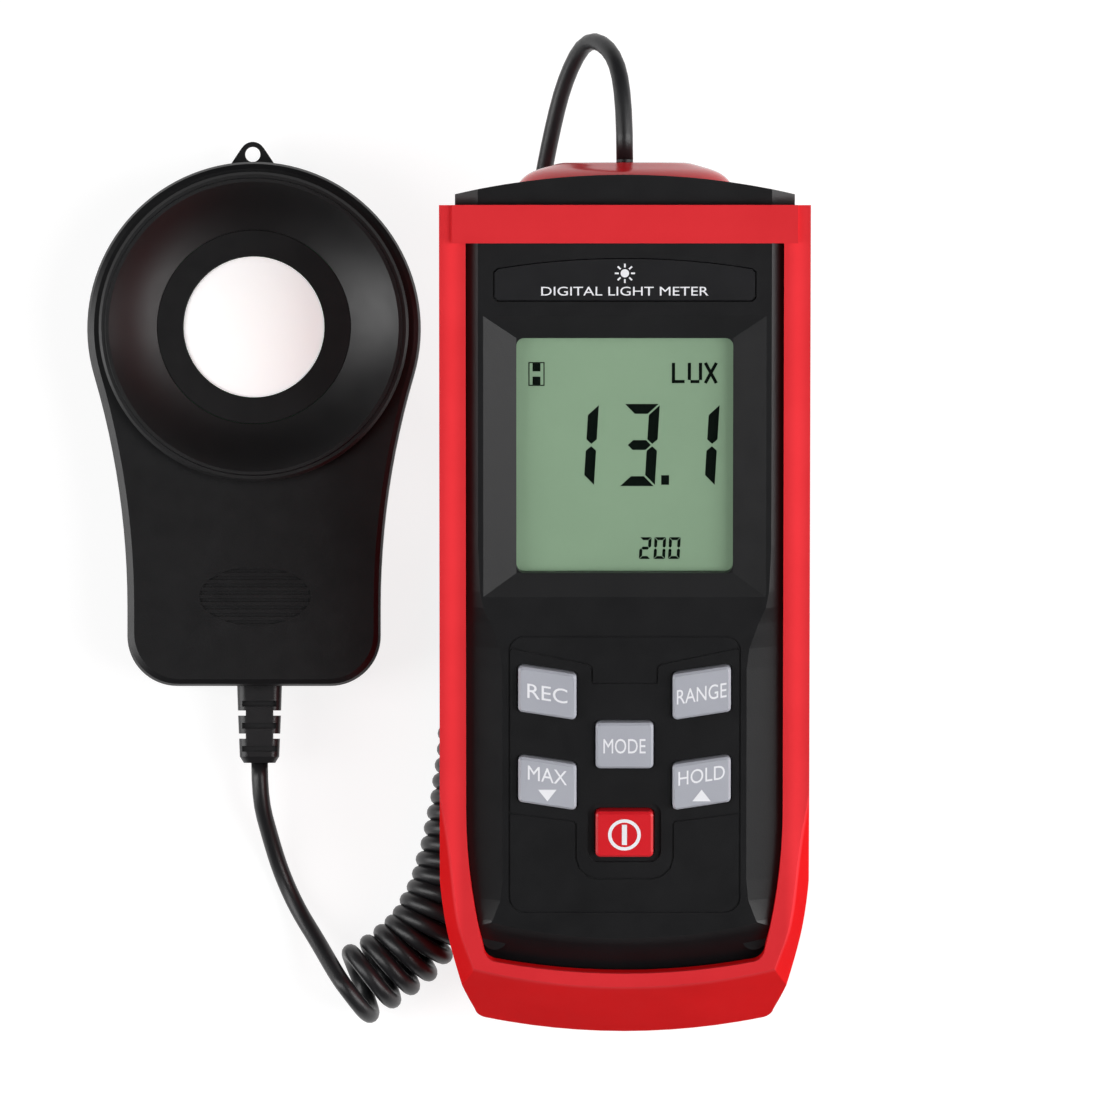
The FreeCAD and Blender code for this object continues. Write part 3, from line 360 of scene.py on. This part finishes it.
def diffuser_white():
    """Milky plastic that lets light into its surface, with a painted glow that keeps it white against the shade of
    its dish.
    """
    paint = Paint("diffuser_white")
    paint.vary_colour(paint.noise(90.0), (0.90, 0.90, 0.89), (0.94, 0.94, 0.93))
    paint.vary_roughness(paint.noise(700.0), 0.42, 0.55)
    paint.bump(paint.noise(2600.0), 0.2, FINE_DEPTH)
    paint.set(Subsurface_Weight=0.25, Subsurface_Scale=2 * MM, Subsurface_Radius=(1.0, 1.0, 0.9))
    # painted light: a glow against the dish's shade, though the diffuser is no lamp
    paint.set(Emission_Color=(1.0, 1.0, 1.0, 1), Emission_Strength=DIFFUSER_PAINTED_GLOW)
    return paint.material


MATERIALS = make_materials()


def paint_nodes():
    slots = {s["node"]: s["material_slot"] for s in frame["record"]["subparts"]}
    for node, piece in NODES.items():
        piece.data.materials.clear()
        piece.data.materials.append(MATERIALS[slots[node]])


# ---- softened edges ----------------------------------------------------------------------------
KEYS = ("record", "range", "mode", "max", "hold", "power")
SOFT_EDGES = {                # node: width in mm
    "holster": 0.55, "front_case": 0.28, "rear_case": 0.28, "label_plate": 0.08, "cord_cap": 0.2,
    "probe_front_shell": 0.4, "probe_rear_shell": 0.3, "dish_collar": 0.14, "probe_boot": 0.25,
    "tilt_stand": 0.3, "battery_door": 0.25, "sensor_bezel": 0.06,
}
SOFT_EDGES.update({f"key_{name}": 0.18 for name in KEYS})
SOFT_SEGMENTS = 3
SOFT_ANGLE = math.radians(28)


def soften_edges():
    """Small rounded edges on the moulded pieces, which catch the light."""
    for node, width in SOFT_EDGES.items():
        bevel = NODES[node].modifiers.new("soft_edges", "BEVEL")
        bevel.width = width * MM
        bevel.segments = SOFT_SEGMENTS
        bevel.limit_method = "ANGLE"
        bevel.angle_limit = SOFT_ANGLE
        bevel.use_clamp_overlap = True
        bevel.harden_normals = True


# ---- mesh helpers ------------------------------------------------------------------------------
LETTER_DEPTH = 0.1            # only tells a letter's front from its back
LETTER_STEPS = 4
RING_STEPS = 48


def new_piece(name, points, faces, material, body=None, smooth=False):
    mesh = bpy.data.meshes.new(name)
    mesh.from_pydata([tuple(p) for p in points], [], faces)
    mesh.validate()
    mesh.update()
    piece = bpy.data.objects.new(name, mesh)
    bpy.context.scene.collection.objects.link(piece)
    mesh.materials.append(MATERIALS[material])
    for polygon in mesh.polygons:
        polygon.use_smooth = smooth
    if body:
        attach(piece, body)
    return piece


def shape_of(curve):
    """The points and polygons of a curve's evaluated shape. The curve is used up."""
    holder = bpy.data.objects.new(curve.name, curve)
    bpy.context.scene.collection.objects.link(holder)
    bpy.context.view_layer.update()
    graph = bpy.context.evaluated_depsgraph_get()
    mesh = bpy.data.meshes.new_from_object(holder.evaluated_get(graph))
    points = [v.co.copy() for v in mesh.vertices]
    polygons = [tuple(polygon.vertices) for polygon in mesh.polygons]
    bpy.data.objects.remove(holder)
    bpy.data.curves.remove(curve)
    bpy.data.meshes.remove(mesh)
    return points, polygons


class Print:
    """Flat raised printing gathered in the meter's frame: polygons on a plane, a little thick."""

    def __init__(self, height, thick):
        self.height = height
        self.thick = thick
        self.points = []
        self.faces = []

    def polygon(self, outline):
        turn = sum(a[0] * b[1] - b[0] * a[1] for a, b in zip(outline, outline[1:] + outline[:1]))
        outline = outline if turn > 0 else outline[::-1]
        start, count = len(self.points), len(outline)
        for w in (self.height, self.height + self.thick):
            self.points += [Vector((u, v, w)) for u, v in outline]
        self.faces.append(tuple(start + count + i for i in range(count)))
        self.faces.append(tuple(start + count - 1 - i for i in range(count)))
        for i in range(count):
            j = (i + 1) % count
            self.faces.append((start + i, start + j, start + count + j, start + count + i))

    def bar(self, u, v, wide, tall):
        self.polygon([(u - wide / 2, v - tall / 2), (u + wide / 2, v - tall / 2),
                      (u + wide / 2, v + tall / 2), (u - wide / 2, v + tall / 2)])

    def line(self, start, end, thick):
        start = Vector(start)
        end = Vector(end)
        along = (end - start).normalized()
        side = Vector((-along.y, along.x)) * thick / 2
        self.polygon([tuple(start - side), tuple(end - side), tuple(end + side), tuple(start + side)])

    def ring(self, u, v, inner, outer, steps=RING_STEPS):
        for i in range(steps):
            a = math.radians(360 * i / steps)
            b = math.radians(360 * (i + 1) / steps)
            self.polygon([(u + r * math.cos(t), v + r * math.sin(t))
                          for r, t in ((inner, a), (outer, a), (outer, b), (inner, b))])

    def letters(self, text, u, v, wide, tall, shear=0.0):
        """Text centred on (u, v), fitted to a width and a cap height, sloping by shear."""
        curve = bpy.data.curves.new("letters", "FONT")
        curve.body = text
        curve.extrude = LETTER_DEPTH
        curve.resolution_u = LETTER_STEPS
        spots, polygons = shape_of(curve)
        xs = [p.x for p in spots]
        ys = [p.y for p in spots]
        across = max(xs) - min(xs)
        up = max(ys) - min(ys)
        start = len(self.points)
        for p in spots:
            du = (p.x - min(xs) - across / 2) * wide / across
            dv = (p.y - min(ys) - up / 2) * tall / up + du * shear
            w = self.height + (self.thick if p.z > 0 else 0)
            self.points.append(Vector((u + du, v + dv, w)))
        self.faces += [tuple(start + i for i in polygon) for polygon in polygons]

    def make(self, name, material, body):
        points = [TO_WORLD @ p for p in self.points]
        return new_piece(name, points, self.faces, material, body)


# ---- printing on the keys and the plate --------------------------------------------------------
INK = 0.04 * MM
KEY_SLOPE = 0.16              # how steeply the outer keys' words slope
# key: word, width and height in mm, the way it slopes, the way its triangle points
KEY_WORDS = {
    "record": ("REC", 7.6, 2.9, -1, 0),
    "range": ("RANGE", 9.4, 2.9, 1, 0),
    "mode": ("MODE", 8.0, 2.9, 0, 0),
    "max": ("MAX", 7.4, 2.8, -1, -1),
    "hold": ("HOLD", 8.8, 2.8, 1, 1),
}
WORD_UP = 1.7 * MM            # a word above a triangle, from the key's middle
TRIANGLE_DOWN = 2.3 * MM
TRIANGLE_HALF_WIDE = 1.75 * MM
TRIANGLE_HALF_TALL = 1.15 * MM
POWER_INNER_R = 2.45 * MM
POWER_OUTER_R = 3.1 * MM
POWER_BAR = (0.95 * MM, 4.0 * MM)

PLATE_TEXT = (31.5 * MM, 1.75 * MM)
PLATE_TEXT_UP = 1.8 * MM      # above the plate's lower edge
SUN_UP = 5.3 * MM
SUN_R = 0.8 * MM
SUN_STEPS = 24
RAYS = 8
RAY_NEAR = 1.15 * MM
RAY_FAR = 1.9 * MM
RAY_THICK = 0.32 * MM


def key_word(ink, u, v, word, wide, tall, slope, triangle):
    """A word, alone or above a small triangle that points down (-1) or up (1)."""
    if not triangle:
        ink.letters(word, u, v, wide * MM, tall * MM, slope * KEY_SLOPE)
        return
    ink.letters(word, u, v + WORD_UP, wide * MM, tall * MM, slope * KEY_SLOPE)
    base = v - TRIANGLE_DOWN - triangle * TRIANGLE_HALF_TALL
    tip = v - TRIANGLE_DOWN + triangle * TRIANGLE_HALF_TALL
    ink.polygon([(u - TRIANGLE_HALF_WIDE, base), (u + TRIANGLE_HALF_WIDE, base), (u, tip)])


def print_keys():
    for name in KEYS:
        low, high = meter_box(f"key_{name}")
        middle = (low + high) / 2
        ink = Print(high.z, INK)
        if name in KEY_WORDS:
            key_word(ink, middle.x, middle.y, *KEY_WORDS[name])
        else:
            ink.ring(middle.x, middle.y, POWER_INNER_R, POWER_OUTER_R)
            ink.bar(middle.x, middle.y, *POWER_BAR)
        ink.make(f"print_{name}", "print_white", f"{name}_key")


def print_plate():
    """A generic sun sign and a plain description of the instrument."""
    low, high = meter_box("label_plate")
    u = (low.x + high.x) / 2
    ink = Print(high.z, INK)
    ink.letters("DIGITAL LIGHT METER", u, low.y + PLATE_TEXT_UP, *PLATE_TEXT)
    sun = Vector((u, low.y + SUN_UP))
    ink.ring(sun.x, sun.y, 0.0, SUN_R, SUN_STEPS)
    for i in range(RAYS):
        a = math.radians(360 * i / RAYS)
        out = Vector((math.cos(a), math.sin(a)))
        ink.line(sun + out * RAY_NEAR, sun + out * RAY_FAR, RAY_THICK)
    ink.make("print_plate", "print_white", "meter")


# ---- display -----------------------------------------------------------------------------------
SEGMENTS = {"0": "abcdef", "1": "bc", "2": "abged", "3": "abgcd"}
SEGMENT_GAP = 0.12            # gap between segments, as a share of their thickness
SEGMENT_SHOULDER = 0.45       # how far an upright's pointed end reaches, the same way

DISPLAY_INK = 0.02 * MM
# Places on the display are from the middle and the lower edge of its panel.
READING = {"wide": 6.8 * MM, "tall": 16.2 * MM, "thick": 1.95 * MM, "lean": 0.058}
READING_UP = 17.8 * MM
READING_FIGURES = (("1", -12.6 * MM), ("3", -1.1 * MM), ("1", 10.2 * MM))
POINT_RIGHT = 7.65 * MM
POINT_UP = 1.2 * MM           # above the reading's foot
POINT_SIZE = (1.5 * MM, 1.9 * MM)
RANGE = {"wide": 2.2 * MM, "tall": 4.3 * MM, "thick": 0.58 * MM, "lean": 0.05}
RANGE_TEXT = "200"
RANGE_UP = 3.4 * MM
RANGE_RIGHT = 2.7             # mm
RANGE_STEP = 2.75             # mm from one figure to the next

UNIT_RIGHT = 13.3 * MM
UNIT_UP = 40.1 * MM
UNIT_HALF_LONG = 4.1 * MM
UNIT_HALF_TALL = 2.0 * MM
UNIT_THICK = 0.62 * MM
UNIT_LETTER = 2.1 * MM        # width of a letter
UNIT_STEP = 3.0 * MM          # from one letter to the next

BATTERY_LEFT = 16.65 * MM
BATTERY_UP = 39.9 * MM
BATTERY_SIDE = (0.22 * MM, 4.7 * MM)
BATTERY_SIDE_OUT = 1.42 * MM
BATTERY_END = (2.6 * MM, 0.22 * MM)
BATTERY_END_OUT = 2.24 * MM
BATTERY_BLOCK = (1.5 * MM, 1.6 * MM)
BATTERY_BLOCK_OUT = 1.32 * MM


def flat_segment(name, wide, tall, thick, gap):
    """The top (a) or bottom (d) segment."""
    y, inward = (tall, -1) if name == "a" else (0.0, 1)
    inner = y + inward * thick
    return [(gap, y), (wide - gap, y), (wide - gap - thick, inner), (gap + thick, inner)]


def middle_segment(wide, tall, thick, gap):
    half = tall / 2
    up = thick / 2
    near = up + gap
    far = wide - up - gap
    return [(near, half), (near + up, half - up), (far - up, half - up),
            (far, half), (far - up, half + up), (near + up, half + up)]


def upright_segment(name, wide, tall, thick, gap):
    """One of the four uprights: b and c on the right, e and f on the left."""
    half = tall / 2
    x, inward = (0.0, 1) if name in "ef" else (wide, -1)
    end, away = (tall, 1) if name in "bf" else (0.0, -1)
    inner = x + inward * thick
    tip = half + away * gap
    shoulder = half + away * (gap + thick * SEGMENT_SHOULDER)
    return [(x, end - away * gap), (x, shoulder), (x + inward * thick / 2, tip), (inner, shoulder),
            (inner, end - away * (gap + thick))]


def figure(ink, digit, u, v, wide, tall, thick, lean):
    """One seven-segment figure whose lower left corner is at (u, v)."""
    gap = thick * SEGMENT_GAP
    for name in SEGMENTS[digit]:
        if name == "g":
            outline = middle_segment(wide, tall, thick, gap)
        elif name in "ad":
            outline = flat_segment(name, wide, tall, thick, gap)
        else:
            outline = upright_segment(name, wide, tall, thick, gap)
        ink.polygon([(u + x + y * lean, v + y) for x, y in outline])


def print_unit(ink, u, v):
    """The unit's name in plain strokes."""
    half = UNIT_HALF_TALL
    thick = UNIT_THICK
    letter = UNIT_LETTER
    foot = v - half + thick / 2
    left = u - UNIT_HALF_LONG
    ink.line((left, v - half), (left, v + half), thick)
    ink.line((left, foot), (left + letter, foot), thick)
    left += UNIT_STEP
    for side in (0, letter):
        ink.line((left + side, v - half + thick), (left + side, v + half), thick)
    ink.line((left + thick / 3, foot), (left + letter - thick / 3, foot), thick)
    left += UNIT_STEP
    ink.line((left, v - half), (left + letter, v + half), thick)
    ink.line((left, v + half), (left + letter, v - half), thick)


def print_battery(ink, u, v):
    for side in (-1, 1):
        ink.bar(u + side * BATTERY_SIDE_OUT, v, *BATTERY_SIDE)
        ink.bar(u, v + side * BATTERY_END_OUT, *BATTERY_END)
        ink.bar(u, v + side * BATTERY_BLOCK_OUT, *BATTERY_BLOCK)


def print_display():
    low, high = meter_box("lcd_panel")
    u = (low.x + high.x) / 2
    v = low.y
    base = v + READING_UP
    ink = Print(high.z, DISPLAY_INK)
    for digit, left in READING_FIGURES:
        figure(ink, digit, u + left, base, **READING)
    ink.bar(u + POINT_RIGHT, base + POINT_UP, *POINT_SIZE)
    for i, digit in enumerate(RANGE_TEXT):
        figure(ink, digit, u + (RANGE_RIGHT + RANGE_STEP * i) * MM, v + RANGE_UP, **RANGE)
    print_unit(ink, u + UNIT_RIGHT, v + UNIT_UP)
    print_battery(ink, u - BATTERY_LEFT, v + BATTERY_UP)
    ink.make("display_figures", "segment_dark", "meter")


# ---- cord --------------------------------------------------------------------------------------
CORD_R = 1.6 * MM
COIL_MEAN_R = 5.9 * MM
COIL_Z = 7.8 * MM
COIL_START = 0.7 * MM         # where along the coil's axis the probe's lead joins it
FIRST_TURN = 0.2              # and where round the coil
TURNS = 28.83
OPEN_TURNS = 1.45             # turns missing where the probe's end is pulled open
OPEN_LONG = 9.0 * MM          # how far along the coil that fades away
OPEN_WIDE = 0.3 * MM
UNEVEN = 0.08 * MM            # how much the turns differ in radius
UNEVEN_RATE = 2.3
TURN_POINTS = 14
TUBE_SIDES = 14
AXIS_STEPS = 24               # points on the coil's axis between two points of its route
CORD_STEPS = 4
EVEN_SHARE = 0.6              # how much of the stretch all turns share alike

LEAD_METER_ROUTE = [
    (33.6, 80.7, 65.2), (33.6, 91.5, 65.2), (31.8, 101.0, 60.6), (26.7, 104.4, 51.0),
    (22.3, 96.4, 44.0), (19.3, 84.0, 39.0), (17.0, 71.0, 32.5), (14.2, 58.0, 24.5),
    (11.2, 46.0, 15.0), (8.6, 34.0, 6.0), (7.2, 23.0, 2.2), (6.4, 13.5, 1.7), (6.2, 5.0, 1.65),
]
COIL_ROUTE = [
    (6.2, 5.0), (6.5, -8.0), (6.1, -21.0), (4.9, -35.0), (2.6, -48.2), (-1.0, -60.9),
    (-8.3, -71.4), (-19.9, -77.4),
]
LEAD_PROBE_ROUTE = [
    (-35.9, -33.6, 9.0), (-35.9, -40.2, 9.0), (-34.0, -47.6, 4.6), (-31.8, -54.8, 2.0),
    (-28.7, -61.6, 2.6), (-24.9, -67.6, 6.4), (-21.8, -72.9, 11.2),
]


def spline_points(points, resolution):
    """Points along the smooth line that has the given ones as its control points."""
    curve = bpy.data.curves.new("route", "CURVE")
    curve.dimensions = "3D"
    spline = curve.splines.new("NURBS")
    spline.points.add(len(points) - 1)
    for target, point in zip(spline.points, points):
        target.co = (*point, 1.0)
    spline.order_u = 3
    spline.use_endpoint_u = True
    spline.resolution_u = resolution
    return shape_of(curve)[0]


def lengths_along(line):
    """How far along a line each of its points is."""
    total = 0.0
    out = [0.0]
    for a, b in zip(line, line[1:]):
        total += (b - a).length
        out.append(total)
    return out


def helix_points():
    """Control points of the curly stretch, from the probe's end to the meter's."""
    axis = spline_points([Vector((x, y, 0)) * MM for x, y in reversed(COIL_ROUTE)], AXIS_STEPS)
    along = lengths_along(axis)
    count = int(TURNS * TURN_POINTS)
    points = []
    at = 0
    for i in range(count + 1):
        s = COIL_START + (along[-1] - COIL_START) * i / count
        while at < len(along) - 2 and along[at + 1] < s:
            at += 1
        t = (s - along[at]) / (along[at + 1] - along[at])
        centre = axis[at].lerp(axis[at + 1], t)
        ahead = (axis[at + 1] - axis[at]).normalized()
        left = Vector((-ahead.y, ahead.x, 0))
        opened = math.exp((COIL_START - s) / OPEN_LONG)
        turn = FIRST_TURN + TURNS * i / count - OPEN_TURNS * (1 - opened)
        r = COIL_MEAN_R + OPEN_WIDE * opened + UNEVEN * math.sin(UNEVEN_RATE * turn)
        angle = 2 * math.pi * turn
        height = Vector((0, 0, COIL_Z + r * math.sin(angle)))
        points.append(centre + left * (r * math.cos(angle)) + height)
    return points


def tube_piece(name, line, radius, sides, material):
    """Round tube along a line, with rings that don't twist."""
    points = []
    faces = []
    normal = (line[1] - line[0]).normalized().orthogonal().normalized()
    for i, centre in enumerate(line):
        heading = (line[min(i + 1, len(line) - 1)] - line[max(i - 1, 0)]).normalized()
        normal = (normal - heading * normal.dot(heading)).normalized()
        side = heading.cross(normal)
        for k in range(sides):
            a = 2 * math.pi * k / sides
            points.append(centre + normal * (radius * math.cos(a)) + side * (radius * math.sin(a)))
    for i in range(len(line) - 1):
        for k in range(sides):
            j = (k + 1) % sides
            faces.append((i * sides + k, i * sides + j, (i + 1) * sides + j, (i + 1) * sides + k))
    faces.append(tuple(reversed(range(sides))))
    faces.append(tuple((len(line) - 1) * sides + k for k in range(sides)))
    return new_piece(name, points, faces, material, smooth=True)


def curly_cord():
    probe_lead = [Vector(p) * MM for p in LEAD_PROBE_ROUTE]
    meter_lead = [Vector(p) * MM for p in reversed(LEAD_METER_ROUTE)]
    line = spline_points(probe_lead + helix_points() + meter_lead, CORD_STEPS)
    cord = tube_piece("curly_cord", line, CORD_R, TUBE_SIDES, "cord_rubber")
    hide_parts("cord_lead_probe", "cord_coil", "cord_lead_meter")
    along = lengths_along(line)
    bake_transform(cord)
    plain = [lengths_along(spline_points(lead, CORD_STEPS))[-1] for lead in (probe_lead, meter_lead)]
    share_by_turn(cord, along, *plain)


def share_by_turn(cord, along, probe_long, meter_long):
    """Works out how the coil's turns would share the stretch, ring by ring of the tube; the shares are not used.
    """
    start = probe_long
    end = along[-1] - meter_long
    shares = []
    for s in along:
        t = min(1.0, max(0.0, (end - s) / (end - start)))
        eased = t * t * (3 - 2 * t)
        shares += [EVEN_SHARE * t + (1 - EVEN_SHARE) * eased] * TUBE_SIDES


# ---- stage, lights and camera ------------------------------------------------------------------
FLOOR_REACH = 9.0
FLOOR_GAP = 0.02 * MM
FLOOR_GLOW = 0.84
WORLD_GLOW = 0.07
LIGHTS_AIM = (0.0, 0.0, 0.03)
# name: place, width, height, power in watts
LIGHTS = {
    "left_softbox": ((-1.05, -0.10, 0.60), 0.6, 1.6, 14.0),
    "right_softbox": ((1.00, -0.11, 0.75), 0.8, 1.6, 22.5),
    "front_softbox": ((0.75, -0.85, 1.10), 0.4, 0.4, 0.6),
    "overhead": ((0.0, 0.75, 1.90), 1.3, 0.7, 1.2),
}
LENS = 900.0                  # mm, long and far away, so that the view is nearly square on
SENSOR = 36.0                 # mm
VIEW_WIDE = 0.2102            # width of the floor that the picture shows
VIEW_X = 19.5 * MM
VIEW_Y = 7.0 * MM
FARTHEST = 100.0


def make_stage():
    reach = FLOOR_REACH
    corners = [(-reach, -reach, 0), (reach, -reach, 0), (reach, reach, 0), (-reach, reach, 0)]
    floor = bpy.data.meshes.new("floor")
    floor.from_pydata(corners, [], [(0, 1, 2, 3)])
    ground = bpy.data.objects.new("floor", floor)
    bpy.context.scene.collection.objects.link(ground)
    ground.location.z = cad_low.z - FLOOR_GAP
    paint = Paint("pale_floor")
    paint.set(Base_Color=(0.24, 0.24, 0.24, 1), Roughness=0.9, Specular_IOR_Level=0.1)
    paint.set(Emission_Color=(1.0, 1.0, 1.0, 1), Emission_Strength=FLOOR_GLOW)
    floor.materials.append(paint.material)


def area_light(name, place, wide, tall, power):
    light = bpy.data.lights.new(name, "AREA")
    light.shape = "RECTANGLE"
    light.size = wide
    light.size_y = tall
    light.energy = power
    holder = bpy.data.objects.new(name, light)
    bpy.context.scene.collection.objects.link(holder)
    holder.location = place
    holder.rotation_euler = (Vector(LIGHTS_AIM) - Vector(place)).to_track_quat("-Z", "Y").to_euler()
    holder.visible_camera = False


def make_lights():
    world = bpy.data.worlds.new("studio")
    bpy.context.scene.world = world
    world.use_nodes = True
    back = world.node_tree.nodes["Background"]
    back.inputs["Color"].default_value = (1.0, 1.0, 1.0, 1)
    back.inputs["Strength"].default_value = WORLD_GLOW
    for name, light in LIGHTS.items():
        area_light(name, *light)


def make_camera():
    data = bpy.data.cameras.new("camera")
    data.lens = LENS
    data.sensor_width = SENSOR
    data.sensor_fit = "HORIZONTAL"
    data.clip_end = FARTHEST
    camera = bpy.data.objects.new("camera", data)
    bpy.context.scene.collection.objects.link(camera)
    camera.location = (VIEW_X, VIEW_Y, VIEW_WIDE * LENS / SENSOR)
    camera.rotation_euler = (0, 0, 0)
    bpy.context.scene.camera = camera
    bpy.context.scene.view_settings.view_transform = "Standard"


make_camera()
make_lights()
make_stage()
paint_nodes()
soften_edges()
print_keys()
print_plate()
print_display()
curly_cord()
